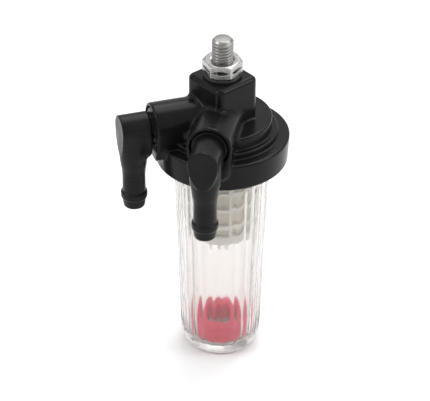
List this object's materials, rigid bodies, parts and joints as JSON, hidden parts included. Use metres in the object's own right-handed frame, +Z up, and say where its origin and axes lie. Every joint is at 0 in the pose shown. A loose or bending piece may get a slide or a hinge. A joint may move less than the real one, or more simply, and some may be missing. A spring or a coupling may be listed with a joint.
{
  "type": "fuel filter",
  "caption": "Small-engine fuel filter: black head with two hose elbows and a threaded stud and nut, clear fluted screw-on bowl, pale screen element and red water float ring.",
  "frame": {"origin": "centre of the bowl's flat underside, on the filter's axis", "axes": "+Z up along the filter's axis towards the stud; -Y midway between the two hose sockets; inlet elbow on -X, outlet elbow on +X"},
  "size_m": [0.05, 0.0617, 0.132],
  "materials": {
    "head_plastic": "glossy moulded black nylon",
    "elbow_plastic": "satin-gloss moulded black nylon",
    "stud_steel": "bright stainless thread",
    "nut_steel": "bright stainless",
    "washer_black": "matte black",
    "bowl_clear": "clear moulded plastic, faintly warm",
    "o_ring_rubber": "black nitrile rubber",
    "float_red": "crimson moulded float",
    "element_white": "cream moulded plastic",
    "mesh_cream": "fine woven screen",
    "seal_rubber": "black nitrile rubber"
  },
  "bodies": {
    "head": {"filter_head": "head_plastic", "inlet_elbow": "elbow_plastic", "outlet_elbow": "elbow_plastic", "mounting_stud": "stud_steel"},
    "washer": {"mounting_washer": "washer_black"},
    "nut": {"mounting_nut": "nut_steel"},
    "bowl_seal": {"bowl_o_ring": "o_ring_rubber"},
    "bowl": {"bowl": "bowl_clear"},
    "float": {"float_ring": "float_red"},
    "element": {"element_top_cap": "element_white", "element_seal": "seal_rubber", "element_cage": "element_white", "element_mesh": "mesh_cream", "element_bottom_cap": "element_white"}
  },
  "joints": [
    {"name": "nut_lift", "type": "slide", "parent": "head", "child": "washer", "axis": [0, 0, 1], "range_m": [0, 0.014]},
    {"name": "nut_turn", "type": "hinge", "parent": "washer", "child": "nut", "pos_m": [0, 0, 0.1208], "axis": [0, 0, 1], "range_deg": [0, 4034]},
    {"name": "bowl_lower", "type": "slide", "parent": "head", "child": "bowl_seal", "axis": [0, 0, -1], "range_m": [0, 0.0075]},
    {"name": "bowl_turn", "type": "hinge", "parent": "bowl_seal", "child": "bowl", "pos_m": [0, 0, 0.0845], "axis": [0, 0, -1], "range_deg": [0, 1081]},
    {"name": "float_rise", "type": "slide", "parent": "bowl", "child": "float", "axis": [0, 0, 1], "range_m": [0, 0.029]},
    {"name": "element_pull", "type": "slide", "parent": "head", "child": "element", "axis": [0, 0, -1], "range_m": [0, 0.01]}
  ],
  "couplings": [
    {"joint": "nut_turn", "follows": "nut_lift", "rad_per_m": 5026.5},
    {"joint": "bowl_turn", "follows": "bowl_lower", "rad_per_m": 2513.3}
  ]
}
